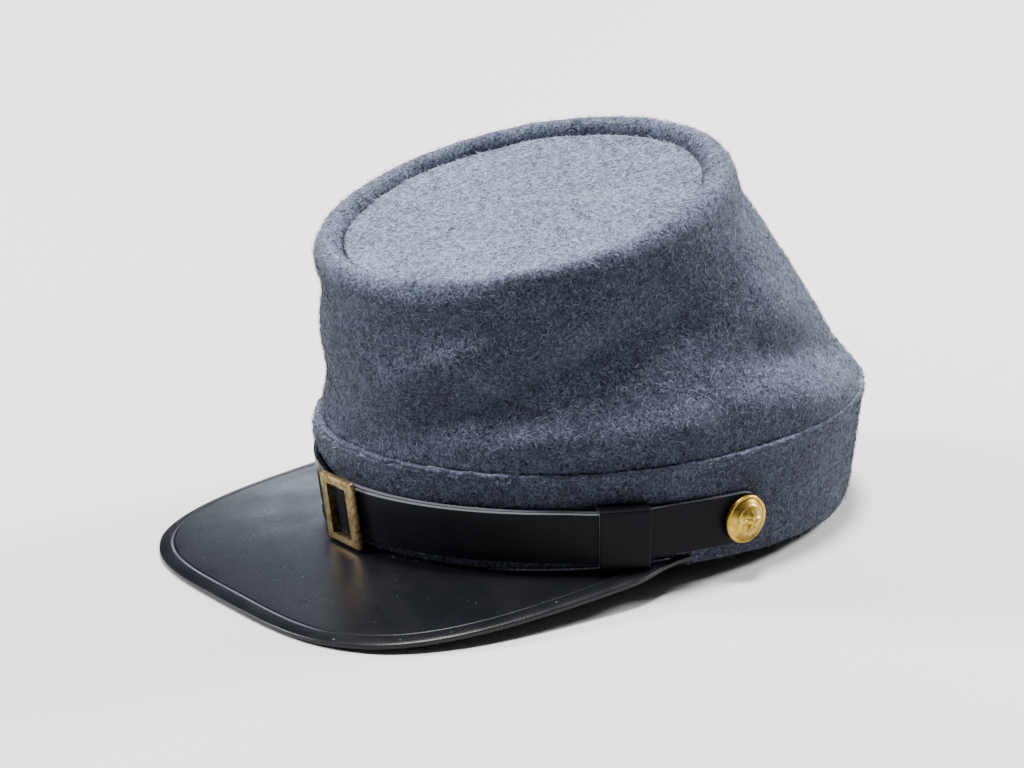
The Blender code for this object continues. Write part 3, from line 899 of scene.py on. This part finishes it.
peak = soft_copy("peak", "leather_peak_piece", 3, 0.55)
place, _ = points_of(peak)
level = made_level(place)
forward = np.maximum(-level[:, 1] - PEAK_SETBACK, 0)
wide_share = np.abs(level[:, 0]) / PEAK_HALF_WIDTH
long_share = forward / PEAK_REACH
share = (wide_share ** PEAK_SQUARENESS + long_share ** PEAK_SQUARENESS) ** (1 / PEAK_SQUARENESS)
far = np.hypot(level[:, 0], forward)
distance = np.clip((1 - share) * far, 0, 2 * LINE_INSET) / (2 * LINE_INSET)
layer = peak.data.attributes.new("edge_distance", "FLOAT", "POINT")
layer.data.foreach_set("value", distance.astype(np.float32))
dress(peak, PEAK_LEATHER, "peak_leather", "peak")

# %% [markdown]
# ## Strap and keeper
# Two strap halves overlap between the buckle and the keeper. The copies keep their shape but
# lose the hard corners. Points that face up belong to the strap's cut edge. The keeper is a
# loop across the strap, so its cut edges face along the strap. Beyond the buckle the strap is
# drawn tight and sinks into the cloth.

# %% Strap
KEEPER_ANGLE = math.radians(64.8)
KEEPER_EDGE_SHADE = 0.8
EDGE_ENDS = -0.15
EDGE_LEFT = 0.15
SINK = 0.0012
SINK_ANGLE = -0.72
SINK_SPREAD = 0.28


def cut_edge_of(node, normal):
    """How much each point belongs to a cut edge, from the way it faces."""
    if node != "keeper":
        return np.clip((normal[:, 2] - 0.45) / 0.3, 0, 1)
    along = normal[:, 0] * math.cos(KEEPER_ANGLE) + normal[:, 1] * math.sin(KEEPER_ANGLE)
    return np.clip((np.abs(along) - 0.6) / 0.3, 0, 1) * KEEPER_EDGE_SHADE


for node, name in (("strap_left", "strap_under"), ("strap_right", "strap_over"), ("keeper", "strap_keeper")):
    piece = soft_copy(node, name, 2, 0.7)
    place, normal = points_of(piece)
    angle = np.arctan2(place[:, 0], -(place[:, 1] - REST_SHIFT.y))
    cut = cut_edge_of(node, normal) * np.clip((angle - EDGE_ENDS) / 0.15, EDGE_LEFT, 1)
    layer = piece.data.attributes.new("cut_edge", "FLOAT", "POINT")
    layer.data.foreach_set("value", cut.astype(np.float32))
    sunk = SINK * np.exp(-(((angle - SINK_ANGLE) / SINK_SPREAD) ** 2))
    put_points(piece, place - outward_at(angle) * sunk[:, None])
    dress(piece, STRAP_LEATHER, "strap_leather", node)

# %% [markdown]
# ## Stitches where the peak is sewn on
# A row of waxed thread holds the peak to the band's lower edge, just under the strap. Each
# stitch is a short spindle laid on the peak beside the band. The row follows an oval round the
# band, and a ray straight down from it finds the leather at each stitch.

# %% Stitch rows
ROOT_FRONT = 0.0955 + 0.0016
ROOT_SIDE = 0.0837 + 0.0016
ROOT_ABOVE = 0.03
STITCH_LENGTH = 0.0026
STITCH_EACH_SIDE = 52
STITCH_TURN = math.radians(1.42)
THREAD_RADIUS = 0.00042
THREAD_LIFT = 0.0001
THREAD_COLOUR = (0.20, 0.23, 0.30, 1)

StitchRing = namedtuple("StitchRing", "along thick")
STITCH_RINGS = (
    StitchRing(-0.5, 0.25), StitchRing(-0.35, 0.8), StitchRing(0, 1),
    StitchRing(0.35, 0.8), StitchRing(0.5, 0.25),
)
THREAD_SIDES = (0, math.tau / 6, math.tau / 3, math.pi, math.tau * 2 / 3, math.tau * 5 / 6)


def add_stitch(mesh, middle, heading, face_normal):
    side = heading.cross(face_normal).normalized()
    rows = []
    for ring in STITCH_RINGS:
        centre = middle + heading * ring.along * STITCH_LENGTH + face_normal * THREAD_LIFT
        radius = THREAD_RADIUS * ring.thick
        rows.append([
            mesh.verts.new(centre + (side * math.cos(a) + face_normal * math.sin(a)) * radius)
            for a in THREAD_SIDES
        ])
    for low, high in zip(rows, rows[1:]):
        for j in range(len(low)):
            k = (j + 1) % len(low)
            mesh.faces.new((low[j], low[k], high[k], high[j]))
    mesh.faces.new(rows[0])
    mesh.faces.new(rows[-1])


# %% Stitches
peak_tree = BVHTree.FromObject(peak, bpy.context.evaluated_depsgraph_get())
stitch_mesh = bmesh.new()
count = 0
for step in range(-STITCH_EACH_SIDE, STITCH_EACH_SIDE + 1):
    angle = step * STITCH_TURN
    spot = at_rest((ROOT_SIDE * math.sin(angle), -ROOT_FRONT * math.cos(angle), ROOT_ABOVE))
    hit, face_normal, _, _ = peak_tree.ray_cast(spot, Vector((0, 0, -1)))
    if hit is None:
        continue
    heading = Vector((ROOT_SIDE * math.cos(angle), ROOT_FRONT * math.sin(angle), 0)).normalized()
    add_stitch(stitch_mesh, hit, heading, face_normal)
    count += 1
bmesh.ops.recalc_face_normals(stitch_mesh, faces=stitch_mesh.faces)
stitch_data = bpy.data.meshes.new("peak_stitches")
stitch_mesh.to_mesh(stitch_data)
stitch_mesh.free()
stitches = bpy.data.objects.new("peak_stitches", stitch_data)
bpy.context.scene.collection.objects.link(stitches)
THREAD, _, _ = new_material("thread", THREAD_COLOUR, 0.7)
dress(stitches, THREAD, "peak_leather")
print(count, "stitches")

# %% [markdown]
# ## Brass
# The buckle is cast brass that has gone brown in its corners. The buttons are stamped from
# thin sheet and gilded. One function makes both finishes: a noise chooses between the bright
# metal and the dull, and the dull is rougher. The buckle's plain solid already has its real
# shape, so it only takes the finish.

# %% Brass materials
def brass_material(name, bright, dull, gloss, share):
    material, tree, shader = new_material(name, bright, gloss, 1.0)
    wear = noise_at(tree, 420.0, 4.0, 0.6)
    colour = ramp(tree, wear, [(share - 0.12, dull), (share + 0.15, bright)])
    tree.links.new(colour, shader.inputs["Base Color"])
    rough = ramp(tree, wear, [(0.3, grey(gloss + 0.2)), (0.7, grey(gloss))])
    tree.links.new(rough, shader.inputs["Roughness"])
    bump(tree, shader, wear, 0.15, 0.0001)
    return material


OLD_BRASS = brass_material("brass_old", (0.42, 0.31, 0.15, 1), (0.16, 0.11, 0.05, 1), 0.34, 0.5)
GILT = brass_material("brass_gilt", (0.50, 0.33, 0.06, 1), (0.26, 0.16, 0.025, 1), 0.27, 0.42)
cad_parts["buckle"].data.materials.clear()
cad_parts["buckle"].data.materials.append(OLD_BRASS)

# %% [markdown]
# ## The buttons' device
# A real button carries a stamped device. A plain five pointed star in a ring of beads stands
# for it here. Each is a rule for a height, from the share of the radius and the angle, so it
# can be pressed into a turned shape of any fineness.

# %% Device
STAR_POINT = math.tau / 10
STAR_INNER = 0.16
STAR_ARM = 0.28
STAR_SLOPE = 0.035
STAR_HEIGHT = 0.0007
BEAD_RING = 0.62
BEAD_WIDTH = 0.035
BEAD_COUNT = 40
BEAD_HEIGHT = 0.0003


def star(share, angle):
    """Height of a five pointed star, 1 on it and 0 off it."""
    point = (angle % (2 * STAR_POINT)) - STAR_POINT
    limit = STAR_INNER + STAR_ARM * (abs(point) / STAR_POINT) ** 1.5
    return min(max((limit - share) / STAR_SLOPE, 0.0), 1.0)


def beads(share, angle):
    ring = math.exp(-(((share - BEAD_RING) / BEAD_WIDTH) ** 2))
    return ring * (0.5 + 0.5 * math.cos(angle * BEAD_COUNT))


# %% [markdown]
# ## Turning a button
# A button is turned round the line from its shank's foot to its apex, which is measured on
# the plain solid. Its profile runs from the shank out under the rim, over the rim and its
# shallow groove, and up the dome. Each step is a share of the radius and a height, measured
# down from the apex, because the dome is what shows.

# %% Button profile
BUTTON_RADIUS = 0.0085
BUTTON_STEPS = 120
SHANK_SHARE = 0.15
DOME_SHARE = 0.88
DOME_DROP = 0.0035
DOME_RINGS = 34

RimStep = namedtuple("RimStep", "share below_apex")
RIM_STEPS = (
    RimStep(SHANK_SHARE, 0.0052), RimStep(0.9, 0.0052), RimStep(0.985, 0.0046), RimStep(1.0, 0.0038),
    RimStep(0.975, 0.0031), RimStep(0.93, 0.0030), RimStep(0.895, 0.0035),
)


def button_profile(tall):
    profile = [(SHANK_SHARE, 0.0)]
    profile += [(step.share, tall - step.below_apex) for step in RIM_STEPS]
    for share in np.linspace(0.87, 0.02, DOME_RINGS):
        profile.append((share, tall - DOME_DROP * (share / DOME_SHARE) ** 2))
    return profile


# %% Buttons
def button(node, name, side):
    points = np.array([v.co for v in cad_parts[node].data.vertices]) * np.array([side, 1, 1])
    apex = points[points[:, 0].argmax()]
    foot = points[points[:, 0] < points[:, 0].min() + 0.0002].mean(axis=0)
    apex = Vector(apex * [side, 1, 1])
    foot = Vector(foot * [side, 1, 1])
    out = (apex - foot).normalized()
    up = (Vector((0, 0, 1)) - out * out.z).normalized()
    wide = up.cross(out)
    tall = (apex - foot).length
    mesh = bmesh.new()
    rows = []
    for share, height in button_profile(tall):
        row = []
        for step in range(BUTTON_STEPS):
            angle = step * math.tau / BUTTON_STEPS
            raised = 0.0
            if share < DOME_SHARE and height > tall / 2:
                raised = STAR_HEIGHT * star(share, angle) + BEAD_HEIGHT * beads(share, angle)
            spot = foot + out * (height + raised)
            spot = spot + (wide * math.sin(angle) + up * math.cos(angle)) * share * BUTTON_RADIUS
            row.append(mesh.verts.new(spot))
        rows.append(row)
    for low, high in zip(rows, rows[1:]):
        for j in range(BUTTON_STEPS):
            k = (j + 1) % BUTTON_STEPS
            mesh.faces.new((low[j], low[k], high[k], high[j]))
    mesh.faces.new(rows[0])
    mesh.faces.new(rows[-1])
    bmesh.ops.recalc_face_normals(mesh, faces=mesh.faces)
    dress(finished(name, mesh), GILT, "button_brass", node)
    print(name, round(tall * 1000, 2), "mm from foot to apex")


button("button_left", "brass_button_left", 1)
button("button_right", "brass_button_right", -1)
